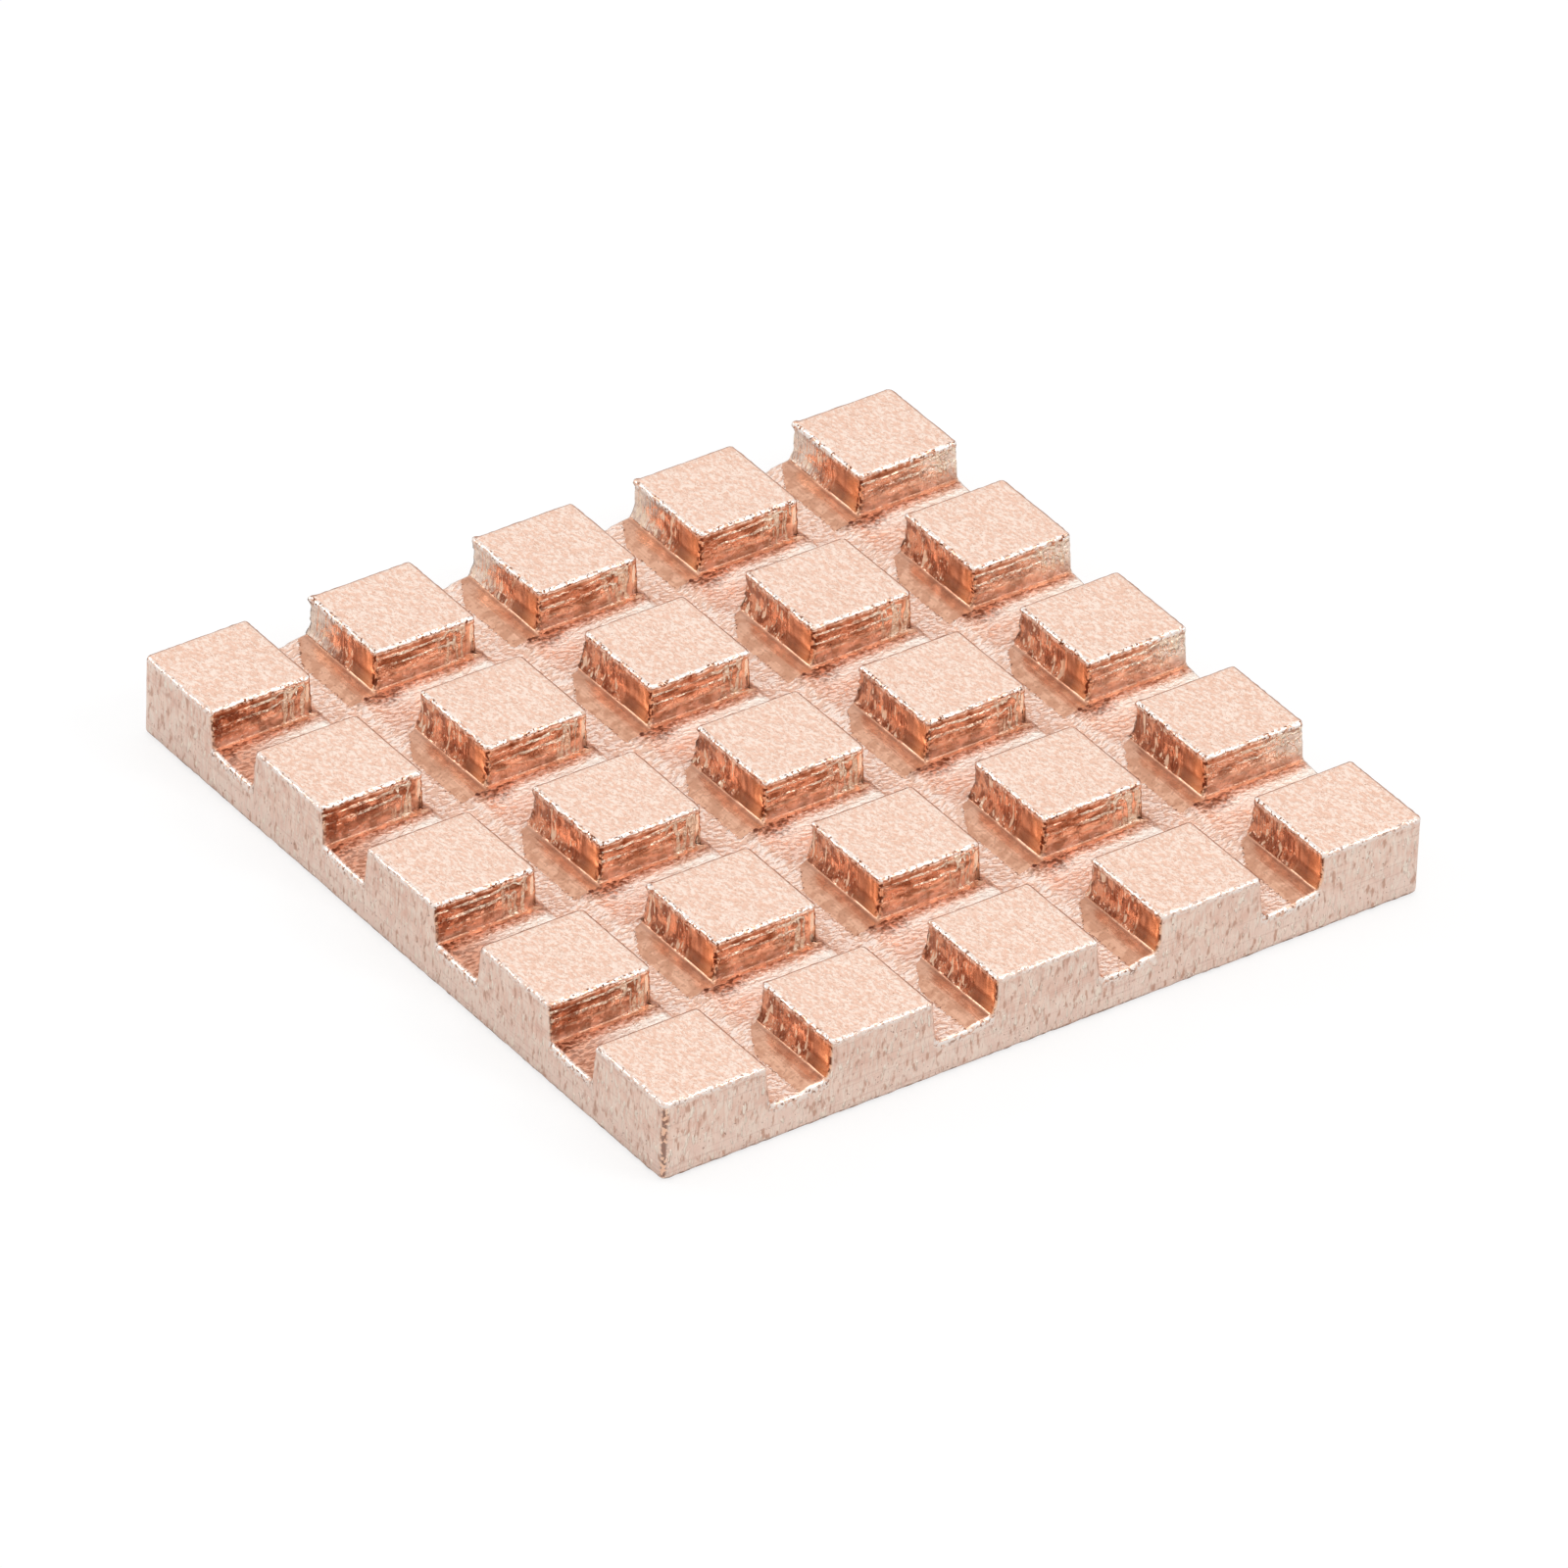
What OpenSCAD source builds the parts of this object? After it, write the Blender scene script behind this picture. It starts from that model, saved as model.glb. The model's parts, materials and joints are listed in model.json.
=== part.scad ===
// Low pin fin heat sink, sawn from solid copper.
// A square plate is slotted both ways, which leaves a grid of square pins on a thin base.
// The origin is the middle of the underside, +Z points up and all sizes are in millimetres.

/* [Plate] */
// Length of the plate along X
plate_x = 15; // [12:0.5:25]
// Width of the plate along Y
plate_y = 15; // [12:0.5:25]
// Height from the underside to the tops of the pins
plate_h = 1.5; // [1.3:0.05:4]
// Radius of the four upright corners of the plate
corner_r = 0.1; // [0.02:0.01:0.3]
// Radius of the edge round the underside
underside_r = 0.08; // [0.02:0.01:0.15]
// Radius of the edges round the pin tops
top_r = 0.06; // [0.02:0.01:0.1]

/* [Slots that run along Y] */
// Number of slots, which leave one more pin in each row along X
slots_y = 4; // [2:1:6]
// Width of each slot at the pin tops
slot_y_w = 1.25; // [1:0.05:1.5]
// Depth of each slot below the pin tops
slot_y_depth = 0.8; // [0.6:0.05:1]
// How far the +X facing wall stands out at its foot
slot_y_heel = 0.1; // [0:0.01:0.2]
// How far the -X facing wall stands out where its toe starts
slot_y_lean = 0.03; // [0.01:0.01:0.08]
// Width of the shallow toe below the -X facing wall
slot_y_toe_w = 0.38; // [0.2:0.01:0.5]
// Height of that toe above the slot floor
slot_y_toe_h = 0.11; // [0.02:0.01:0.2]

/* [Slots that run along X] */
// Number of slots, which leave one more pin in each row along Y
slots_x = 4; // [2:1:6]
// Width of each slot at the pin tops
slot_x_w = 1.3; // [1:0.05:1.5]
// Depth of each slot below the pin tops
slot_x_depth = 0.75; // [0.6:0.05:1]
// How far the +Y facing wall stands out at its foot
slot_x_heel = 0.08; // [0:0.01:0.2]
// Width of the shallow toe below the -Y facing wall
slot_x_toe_w = 0.45; // [0.2:0.01:0.5]
// Height of that toe above the slot floor
slot_x_toe_h = 0.07; // [0.02:0.01:0.2]
// Number of ledges that the cutter left down the -Y facing wall
ledges = 3; // [1:1:4]
// How far each ledge stands out from the wall above it
ledge_out = 0.02; // [0.005:0.005:0.03]

/* [Slot feet] */
// Radius at the foot of every wall
foot_r = 0.1; // [0.02:0.01:0.12]

/* [Hidden] */

// Chords in each small rounded edge or foot of a section
arc_steps = 4;
// How far the slots are cut past the plate on every side
clear = 1;

function unit(v) = v / norm(v);

// Corner b of the path a, b, c, rounded with radius r
function rounded(a, b, c, r) =
    let (
        back = unit(a - b),
        on = unit(c - b),
        half = acos(back * on) / 2,
        sweep = 180 - 2 * half,
        centre = b + unit(back + on) * r / sin(half),
        from = b + back * r / tan(half) - centre,
        to = b + on * r / tan(half) - centre
    )
    [for (s = [0:arc_steps])
        centre + (from * sin(sweep * (1 - s / arc_steps)) + to * sin(sweep * s / arc_steps)) / sin(sweep)];

// Middles of n slots at an even pitch, with the row centred on 0
function slot_places(n, pitch) = [for (i = [0:n - 1]) (i - (n - 1) / 2) * pitch];

// Rectangle that stands on v = 0, with its own radius at the upper and the lower corners
module block_section(w, h, upper_r, lower_r) {
    low_left = [-w / 2, 0];
    low_right = [w / 2, 0];
    high_right = [w / 2, h];
    high_left = [-w / 2, h];
    polygon(concat(
        rounded(high_left, low_left, low_right, lower_r),
        rounded(low_left, low_right, high_right, lower_r),
        rounded(low_right, high_right, high_left, upper_r),
        rounded(high_right, high_left, low_left, upper_r)
    ));
}

// Section of a slot of width w. u runs across the slot from the heeled wall at u = 0 to
// the toed wall at u = w, and v = 0 is the level of the pin tops. The toed wall stands
// out by lean where it meets its toe, and wall holds that wall's own points, going up.
module slot_section(w, depth, heel, toe_w, toe_h, lean, wall = []) {
    near_edge = [0, 0];
    far_edge = [w, 0];
    heel_foot = [heel, -depth];
    toe_tip = [w - lean - toe_w, -depth];
    toe_root = [w - lean, toe_h - depth];
    above_root = len(wall) > 0 ? wall[0] : far_edge;
    below_edge = len(wall) > 0 ? wall[len(wall) - 1] : toe_root;
    polygon(concat(
        [[-top_r, clear]],
        rounded([-w, 0], near_edge, heel_foot, top_r),
        rounded(near_edge, heel_foot, toe_tip, foot_r),
        [toe_tip],
        rounded(toe_tip, toe_root, above_root, foot_r),
        wall,
        rounded(below_edge, far_edge, [2 * w, 0], top_r),
        [[w + top_r, clear]]
    ));
}

// The ledged wall, from the lowest ledge up. The ledges share the wall's height evenly.
function ledged_wall(w, wall_h) =
    let (pitch = (wall_h - foot_r) / ledges)
    [for (k = [ledges:-1:1], side = [0.5, -0.5])
        [w - (k - 0.5 + side) * ledge_out, -k * pitch - side * ledge_out]];

// The plate before it is slotted, as its outlines seen along each axis cut into one another
module blank() {
    intersection() {
        translate([0, -plate_y / 2, 0])
            linear_extrude(plate_h)
                block_section(plate_x, plate_y, corner_r, corner_r);
        translate([0, plate_y / 2 + clear, 0])
            rotate([90, 0, 0])
                linear_extrude(plate_y + 2 * clear)
                    block_section(plate_x, plate_h, top_r, underside_r);
        translate([-plate_x / 2 - clear, 0, 0])
            rotate([90, 0, 90])
                linear_extrude(plate_x + 2 * clear)
                    block_section(plate_y, plate_h, top_r, underside_r);
    }
}

module slots_along_y() {
    pitch = (plate_x + slot_y_w) / (slots_y + 1);
    for (x = slot_places(slots_y, pitch))
        translate([x - slot_y_w / 2, plate_y / 2 + clear, plate_h])
            rotate([90, 0, 0])
                linear_extrude(plate_y + 2 * clear)
                    slot_section(slot_y_w, slot_y_depth, slot_y_heel,
                        slot_y_toe_w, slot_y_toe_h, slot_y_lean);
}

module slots_along_x() {
    pitch = (plate_y + slot_x_w) / (slots_x + 1);
    for (y = slot_places(slots_x, pitch))
        translate([-plate_x / 2 - clear, y - slot_x_w / 2, plate_h])
            rotate([90, 0, 90])
                linear_extrude(plate_x + 2 * clear)
                    slot_section(slot_x_w, slot_x_depth, slot_x_heel,
                        slot_x_toe_w, slot_x_toe_h, ledges * ledge_out,
                        ledged_wall(slot_x_w, slot_x_depth - slot_x_toe_h));
}

module heat_sink() {
    color("#d98e6c")
        difference() {
            blank();
            slots_along_y();
            slots_along_x();
        }
}

heat_sink();
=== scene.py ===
import json
import math
from types import SimpleNamespace

import bmesh
import bpy
import numpy as np
from mathutils import Matrix, Vector

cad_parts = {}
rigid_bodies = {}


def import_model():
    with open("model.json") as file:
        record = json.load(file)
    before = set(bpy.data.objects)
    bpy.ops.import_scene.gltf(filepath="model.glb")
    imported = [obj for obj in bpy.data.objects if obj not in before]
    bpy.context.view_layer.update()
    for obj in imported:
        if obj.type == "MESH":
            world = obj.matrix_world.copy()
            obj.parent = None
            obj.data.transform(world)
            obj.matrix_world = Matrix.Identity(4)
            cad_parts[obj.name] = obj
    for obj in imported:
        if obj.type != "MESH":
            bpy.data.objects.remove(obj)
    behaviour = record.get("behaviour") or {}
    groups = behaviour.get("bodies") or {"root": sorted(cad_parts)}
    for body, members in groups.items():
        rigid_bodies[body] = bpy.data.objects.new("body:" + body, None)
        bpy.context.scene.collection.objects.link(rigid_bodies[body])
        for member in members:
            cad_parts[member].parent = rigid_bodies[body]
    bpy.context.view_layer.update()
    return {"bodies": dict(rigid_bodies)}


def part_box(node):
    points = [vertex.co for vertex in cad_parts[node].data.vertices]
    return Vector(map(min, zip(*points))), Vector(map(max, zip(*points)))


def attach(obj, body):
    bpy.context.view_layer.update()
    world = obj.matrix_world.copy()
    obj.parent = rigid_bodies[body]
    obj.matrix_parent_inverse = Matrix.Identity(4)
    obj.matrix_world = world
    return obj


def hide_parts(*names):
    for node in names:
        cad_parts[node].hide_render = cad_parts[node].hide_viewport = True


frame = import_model()

MM = 0.001
QUARTER = math.pi / 2

# ---- Sizes of the sawn plate, in millimetres, as in its CAD solid ----
NODE = "heat_sink"
PINS = 5
LAST = PINS - 1
SLOT_W = (1.25, 1.3)        # slots that run along Y, slots that run along X
SLOT_DEPTH = (0.8, 0.75)
HEEL = (0.1, 0.08)          # how far the +X and +Y walls stand out at the foot
FOOT_R = (0.1, 0.05)        # at the foot of the +X and +Y walls
EDGE_R = 0.065              # rolled edge round each pin top
RIM_R = 0.07                # edge where walls and slot floors meet the outer faces
PLATE_R = 0.1               # upright corners of the plate
UNDER_R = 0.08              # edge round the underside
FRONT_R, BACK_R = 0.06, 0.1     # upright corners of the pins, in plan
OUTER_FOOT = 0.68           # how deep the pins' own rows reach on the outer faces

# ---- Sections of the toed walls and of the floor at their feet ----
# Each point is (how far out from the wall's top line, how deep).
CURVE_X, CREASE_X = 0.48, (0.075, 0.69)     # where the -X wall starts to curve out, and its crease
TOE_X = (CREASE_X, (0.084, 0.704), (0.105, 0.711), (0.17, 0.72), (0.26, 0.731),
         (0.36, 0.744), (0.44, 0.76), (0.485, 0.782), (0.54, 0.8))
CREASE_Y = (0.067, 0.694)
LEDGED_Y = ((0, 0.1), (0.002, 0.165), (0.024, 0.19), (0.022, 0.25), (0.022, 0.325),
            (0.045, 0.352), (0.046, 0.41), (0.055, 0.55), (0.064, 0.66), CREASE_Y)
TOE_Y = (CREASE_Y, (0.1, 0.699), (0.15, 0.706), (0.21, 0.713), (0.29, 0.722),
         (0.37, 0.732), (0.45, 0.744), (0.54, 0.75))

# ---- How finely each part is meshed ----
NEAR, FAR = 60, 24          # columns down a wall: the toed walls, the heeled walls
WALL_ROWS = 10
BEND = 3                    # steps round a corner
EDGE_ROWS = 4
BELT_ROWS = 4
CAP_CELLS, CAP_INSET = 6, 0.17      # the plain grid in each pin top, and how far in it starts
UNDER_INSET = 0.2           # from the sides to the flat face of the underside

# ---- Shares of the burr, row by row from a pin's top outwards and down ----
EDGE_BURR = (0, 0.35, 0.85, 1, 0.9)
WALL_BURR, RIM_BURR = 0.4, 0.5

F, R, B, L = range(4)       # sides of a pin: -Y, +X, +Y, -X
TOP, EDGE, WALL, FLOOR, OUTER, UNDER = range(6)

low, high = (np.array(c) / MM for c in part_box(NODE))
size = high - low
TOP_Z = size[2]
PIN_W = [(size[k] - LAST * SLOT_W[k]) / PINS for k in (0, 1)]
PITCH = [PIN_W[k] + SLOT_W[k] for k in (0, 1)]


def pin_range(k, index):
    start = low[k] + index * PITCH[k]
    return start, start + PIN_W[k]


# ---- Sections of the slots: a wall, then the floor at its foot ----
def toe_section_x():
    """The -X walls: upright, curving out to a crease, then a shallow toe."""
    depth = np.linspace(EDGE_R, CREASE_X[1], WALL_ROWS + 1)[1:]
    curved = np.clip((depth - CURVE_X) / (CREASE_X[1] - CURVE_X), 0, 1)
    return np.column_stack([CREASE_X[0] * curved ** 1.6, depth]), np.array(TOE_X)


def toe_section_y():
    """The -Y walls: three ledges left by the cutter, then a toe."""
    return np.array(LEDGED_Y), np.array(TOE_Y)


def heel_section(k):
    """The +X and +Y walls: leaning, with a round foot."""
    foot = SLOT_DEPTH[k] - FOOT_R[k]
    depth = np.linspace(EDGE_R, foot, WALL_ROWS + 1)[1:]
    wall = np.column_stack([HEEL[k] * depth / SLOT_DEPTH[k], depth])
    a = np.linspace(0, QUARTER, 5)
    floor = np.column_stack([wall[-1, 0] + FOOT_R[k] * (1 - np.cos(a)),
                             foot + FOOT_R[k] * np.sin(a)])
    return wall, floor


def outer_section():
    """The outer faces: straight down."""
    depth = np.linspace(EDGE_R, OUTER_FOOT, WALL_ROWS + 1)[1:]
    return np.column_stack([0 * depth, depth])


TOES = (toe_section_x(), toe_section_y())
HEELS = (heel_section(0), heel_section(1))


def slot_stations(k, index):
    """Places across a slot, from the heeled wall to the toed one, and their depths."""
    start, end = pin_range(k, index)[1], pin_range(k, index + 1)[0]
    heel, toe = HEELS[k][1], TOES[k][1][::-1]
    at = np.concatenate([start + heel[:, 0], end - toe[:, 0]])
    deep = np.concatenate([heel[:, 1], toe[:, 1]])
    return at, deep


# ---- The shell ----
class Shell:
    """Points and faces as laid, with each point's surface, side and share of the burr."""

    def __init__(self):
        self.points, self.zone, self.side, self.burr, self.faces = [], [], [], [], []

    def put(self, points, zone, side=0, burr=0.0):
        points = np.asarray(points, float).reshape(-1, 3)
        first = len(self.points)
        n = len(points)
        self.points.extend(points.tolist())
        self.zone.extend(np.broadcast_to(zone, n).tolist())
        self.side.extend(np.broadcast_to(side, n).tolist())
        self.burr.extend(np.broadcast_to(burr, n).tolist())
        return np.arange(first, first + n)

    def grid(self, ids):
        a, b, c, d = ids[:-1, :-1], ids[1:, :-1], ids[1:, 1:], ids[:-1, 1:]
        self.faces.extend(np.stack([a, b, c, d], -1).reshape(-1, 4).tolist())

    def loop_grid(self, ids):
        self.grid(np.concatenate([ids, ids[:, :1]], 1))

    def stitch(self, p, q, tp, tq):
        """Triangles between two lines of points, each with its rising places tp and tq."""
        i = j = 0
        while i < len(p) - 1 or j < len(q) - 1:
            if j == len(q) - 1 or (i < len(p) - 1 and tp[i + 1] <= tq[j + 1]):
                self.faces.append([p[i], p[i + 1], q[j]])
                i += 1
            else:
                self.faces.append([p[i], q[j + 1], q[j]])
                j += 1

    def shares(self, ids, axis):
        """How far along the line each of its points lies, from 0 to 1."""
        at = np.array([self.points[n][axis] for n in ids])
        return (at - at[0]) / (at[-1] - at[0])


def warped(count):
    """Shares along a side, closer together near its ends."""
    t = np.linspace(0, 1, count + 1)
    return t - 0.3 * np.sin(2 * math.pi * t) / (2 * math.pi)


def outline(x0, x1, y0, y1, radii):
    """A rounded rectangle, anticlockwise from its front left corner.

    The radii are those of the corners front right, back right, back left and front left.
    Each point comes with its normal and its weight on each side.
    """
    rf, rr, rb, rl = radii
    sides = [((x0 + rl, y0), (x1 - rf, y0), (0, -1), NEAR, (x1 - rf, y0 + rf), rf),
             ((x1, y0 + rf), (x1, y1 - rr), (1, 0), FAR, (x1 - rr, y1 - rr), rr),
             ((x1 - rr, y1), (x0 + rb, y1), (0, 1), FAR, (x0 + rb, y1 - rb), rb),
             ((x0, y1 - rb), (x0, y0 + rl), (-1, 0), NEAR, (x0 + rl, y0 + rl), rl)]
    points, normals, weights = [], [], []
    for s, (a, b, n, count, centre, r) in enumerate(sides):
        for t in warped(count):
            points.append(((1 - t) * a[0] + t * b[0], (1 - t) * a[1] + t * b[1]))
            normals.append(n)
            weights.append(np.eye(4)[s])
        for step in range(1, BEND):
            t = step / BEND
            cos, sin = math.cos(t * QUARTER), math.sin(t * QUARTER)
            turned = (n[0] * cos - n[1] * sin, n[1] * cos + n[0] * sin)
            points.append((centre[0] + r * turned[0], centre[1] + r * turned[1]))
            normals.append(turned)
            weights.append((1 - t) * np.eye(4)[s] + t * np.eye(4)[(s + 1) % 4])
    return np.array(points), np.array(normals), np.array(weights)


def side_columns():
    """The columns of an outline that lie on each side, and how many it has in all."""
    spans, start = [], 0
    for count in (NEAR, FAR, FAR, NEAR):
        spans.append(np.arange(start, start + count + 1))
        start += count + BEND
    return spans, start


SPAN, COLUMNS = side_columns()


def corner(s):
    """Columns round the corner after side s, both ends included."""
    return np.arange(SPAN[s][-1], SPAN[s][-1] + BEND + 1) % COLUMNS


class Pin:
    """One pin's top, rolled edge and walls, laid as rings of points."""

    def __init__(self, shell, i, j):
        self.box = (*pin_range(0, i), *pin_range(1, j))
        self.outer = (j == 0, i == LAST, j == LAST, i == 0)
        self.radii = self.corner_radii()
        _, self.normals, weights = outline(*self.box, self.radii)
        side = np.argmax(weights, 1)
        outer = np.array(self.outer)[side]
        self.rings = []
        for points, drop, zone, burr in self.edge_rows() + self.wall_rows(weights):
            zones = np.where(outer & (zone == WALL), OUTER, zone)
            rows = np.column_stack([points, TOP_Z - drop])
            self.rings.append(shell.put(rows, zones, side, burr))
        self.rings = np.array(self.rings)
        self.foot = self.rings[-1]
        shell.loop_grid(self.rings[::-1])
        self.cap(shell)

    def corner_radii(self):
        """In plan, for the corner after each side."""
        radii = []
        for s, plain in enumerate((BACK_R, BACK_R, BACK_R, FRONT_R)):
            pair = (self.outer[s], self.outer[(s + 1) % 4])
            radii.append(PLATE_R if all(pair) else RIM_R if any(pair) else plain)
        return radii

    def edge_rows(self):
        """The rolled edge, from the top outwards."""
        x0, x1, y0, y1 = self.box
        rows = []
        for e in range(EDGE_ROWS + 1):
            turn = e / EDGE_ROWS * QUARTER
            inset = EDGE_R * (1 - math.sin(turn))
            points = outline(x0 + inset, x1 - inset, y0 + inset, y1 - inset,
                             [r - inset * 0.9 for r in self.radii])[0]
            drop = np.full(len(points), EDGE_R * (1 - math.cos(turn)))
            rows.append((points, drop, EDGE if e else TOP, EDGE_BURR[e]))
        return rows

    def wall_rows(self, weights):
        """The four walls, each on its own section, which blend round the corners."""
        x0, x1, y0, y1 = self.box
        plain = (TOES[1][0], HEELS[0][0], HEELS[1][0], TOES[0][0])
        sections = [outer_section() if out else given for out, given in zip(self.outer, plain)]
        rows = []
        for k in range(WALL_ROWS):
            off = [s[k, 0] for s in sections]
            drops = np.array([s[k, 1] for s in sections])
            points = outline(x0 - off[L], x1 + off[R], y0 - off[F], y1 + off[B], self.radii)[0]
            rows.append((points, weights @ drops, WALL, 0 if k else WALL_BURR))
        return rows

    def cap(self, shell):
        """The flat of the top: a plain grid, stitched to the first ring."""
        x0, x1, y0, y1 = self.box
        xs = np.linspace(x0 + CAP_INSET, x1 - CAP_INSET, CAP_CELLS + 1)
        ys = np.linspace(y0 + CAP_INSET, y1 - CAP_INSET, CAP_CELLS + 1)
        gx, gy = np.meshgrid(xs, ys, indexing="ij")
        flat = np.column_stack([gx.ravel(), gy.ravel(), np.full(gx.size, TOP_Z)])
        ids = shell.put(flat, TOP).reshape(gx.shape)
        shell.grid(ids)
        rim = np.concatenate([ids[:, 0], ids[-1, 1:], ids[-2::-1, -1], ids[0, -2:0:-1]])
        centre = np.array([(x0 + x1) / 2, (y0 + y1) / 2])

        def turned(loop):
            at = np.array([shell.points[n][:2] for n in loop]) - centre
            angle = (np.arctan2(at[:, 1], at[:, 0]) + 1.5 * QUARTER) % (4 * QUARTER)
            order = np.argsort(angle)
            loop, angle = loop[order], angle[order]
            return np.append(loop, loop[0]), np.append(angle, angle[0] + 4 * QUARTER)
        p, tp = turned(self.rings[0])
        q, tq = turned(rim)
        shell.stitch(p, q, tp, tq)


def build_crossings(shell, pins, stations):
    """The floors where two slots cross, each joined to the corners of its four pins."""
    cross = {}
    corners = ((0, 0, R, 0, 0), (1, 0, B, -1, 0), (1, 1, L, -1, -1), (0, 1, F, 0, -1))
    for i in range(LAST):
        for j in range(LAST):
            (x, dx), (y, dy) = stations[0][i], stations[1][j]
            gx, gy = np.meshgrid(x, y, indexing="ij")
            deep = np.maximum(dx[:, None], dy[None, :])
            points = np.column_stack([gx.ravel(), gy.ravel(), (TOP_Z - deep).ravel()])
            cross[i, j] = shell.put(points, FLOOR).reshape(gx.shape)
            shell.grid(cross[i, j])
            for a, b, s, cx, cy in corners:
                arc = pins[i + a, j + b].foot[corner(s)]
                tip = cross[i, j][cx, cy]
                for m in range(BEND):
                    shell.faces.append([arc[m], arc[m + 1], tip])
    return cross


def build_floors(shell, pins):
    """All slot floors. Returns the lines where their rims meet the outer faces."""
    stations = [[slot_stations(k, slot) for slot in range(LAST)] for k in (0, 1)]
    cross = build_crossings(shell, pins, stations)
    rims = {}
    for k in (0, 1):
        for slot in range(LAST):
            for row in range(PINS):
                build_reach(shell, pins, cross, rims, stations[k][slot], k, slot, row)
    return rims


def build_reach(shell, pins, cross, rims, stations, k, slot, row):
    """A slot's floor between two pins, to the crossings or the rims beside it.

    The slot runs along Y where k is 0, along X where it is 1.
    """
    near_pin, far_pin = (pins[(s, row) if k == 0 else (row, s)] for s in (slot, slot + 1))
    heel_side, toe_side = ((R, L), (B, F))[k]
    heel_line = near_pin.foot[SPAN[heel_side]][::(1, -1)[k]]
    toe_line = far_pin.foot[SPAN[toe_side]][::(-1, 1)[k]]
    ends = []
    for end in (0, 1):
        if row == (0, LAST)[end]:
            rim = build_rim(shell, k, end, stations, near_pin, far_pin)
            rims[k, end, slot] = rim[1:-1, -1]
            ends.append(rim[:, 0])
        else:
            beside = row - 1 + end
            grid = cross[(slot, beside) if k == 0 else (beside, slot)]
            ends.append((grid if k == 0 else grid.T)[:, -1 + end])
            tips = [ends[-1][:1], ends[-1][-1:]]
            heel_line, toe_line = (np.concatenate([line, tip] if end else [tip, line])
                                   for line, tip in zip((heel_line, toe_line), tips))
    build_strip(shell, k, stations, heel_line, toe_line, ends)


def build_strip(shell, k, stations, heel_line, toe_line, ends):
    """The floor between a heel line and a toe line."""
    at, deep = stations
    t = shell.shares(heel_line, 1 - k)[1:-1]
    lines = [heel_line]
    for n in range(1, len(at) - 1):
        first, final = (shell.points[end[n]][1 - k] for end in ends)
        points = np.zeros((len(t), 3))
        points[:, k] = at[n]
        points[:, 1 - k] = first + t * (final - first)
        points[:, 2] = TOP_Z - deep[n]
        lines.append(np.array([ends[0][n], *shell.put(points, FLOOR), ends[1][n]]))
    shell.grid(np.array(lines))
    shell.stitch(lines[-1], toe_line, shell.shares(lines[-1], 1 - k), shell.shares(toe_line, 1 - k))


def build_rim(shell, k, end, stations, near_pin, far_pin):
    """The rounded edge between a slot's floor and the outer face, from floor to face."""
    at, deep = stations
    across = np.gradient(at)
    fall = -np.gradient(deep)
    normal = np.column_stack([-fall, across]) / np.hypot(across, fall)[:, None]
    sign = (-1, 1)[end]
    face = (low, high)[end][1 - k]
    turn = np.linspace(0, QUARTER, BEND + 1)
    inward = RIM_R * (1 - np.cos(turn))
    side = ((F, B), (L, R))[k][end]
    near_corner, far_corner = (((F, -1), (L, 1)), ((R, 1), (B, -1)),
                               ((B, 1), (L, -1)), ((R, -1), (F, 1)))[2 * k + end]
    ids = [near_pin.foot[corner(near_corner[0])[::near_corner[1]]]]
    for n in range(1, len(at) - 1):
        points = np.zeros((BEND + 1, 3))
        points[:, k] = at[n] - inward * normal[n, 0]
        points[:, 1 - k] = face - sign * RIM_R * (1 - np.sin(turn))
        points[:, 2] = TOP_Z - deep[n] - inward * normal[n, 1]
        ids.append(shell.put(points, [FLOOR] + [EDGE] * BEND, side, [0] + [RIM_BURR] * BEND))
    ids.append(far_pin.foot[corner(far_corner[0])[::far_corner[1]]])
    ids = np.array(ids)
    shell.grid(ids)
    return ids


def belt_line(pins, rims):
    """The closed line round the plate below pins and slots, with its normals in plan."""
    loop, normals = [], []

    def add(ids, n):
        loop.extend(ids)
        normals.extend(np.broadcast_to(n, (len(ids), 2)))
    walks = [(F, 0, 0, [(i, 0) for i in range(PINS)], (0, -1)),
             (R, 1, 1, [(LAST, j) for j in range(PINS)], (1, 0)),
             (B, 0, 1, [(i, LAST) for i in reversed(range(PINS))], (0, 1)),
             (L, 1, 0, [(0, j) for j in reversed(range(PINS))], (-1, 0))]
    for side, k, end, places, n in walks:
        forward = side in (F, R)
        for step, place in enumerate(places):
            pin = pins[place]
            add(pin.foot[SPAN[side]], n)
            if step < LAST:
                slot = step if forward else LAST - 1 - step
                ids = rims[k, end, slot]
                add(ids if forward else ids[::-1], n)
            else:
                bend = corner(side)[1:-1]
                add(pin.foot[bend], pin.normals[bend])
    return np.array(loop), np.array(normals)


def build_belt(shell, pins, rims):
    """The outer faces below the slots, the edge round the underside and the underside."""
    loop, normals = belt_line(pins, rims)
    base = np.array([shell.points[n] for n in loop])
    side = np.argmax(normals @ np.array([(0, -1), (1, 0), (0, 1), (-1, 0)]).T, 1)
    lines = [loop]
    for t in np.linspace(0, 1, BELT_ROWS + 1)[1:]:
        rows = base.copy()
        rows[:, 2] = (1 - t) * base[:, 2] + t * UNDER_R
        lines.append(shell.put(rows, OUTER, side))
    for turn in np.linspace(0, QUARTER, BEND + 1)[1:]:
        rows = base.copy()
        rows[:, :2] -= normals * UNDER_R * (1 - math.cos(turn))
        rows[:, 2] = UNDER_R * (1 - math.sin(turn))
        lines.append(shell.put(rows, UNDER, side))
    rows = base.copy()
    rows[:, 2] = 0
    rows[:, :2] *= 1 - 2 * UNDER_INSET / size[0]
    lines.append(shell.put(rows, UNDER, side))
    shell.loop_grid(np.array(lines)[::-1])
    shell.faces.append(lines[-1].tolist()[::-1])


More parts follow.
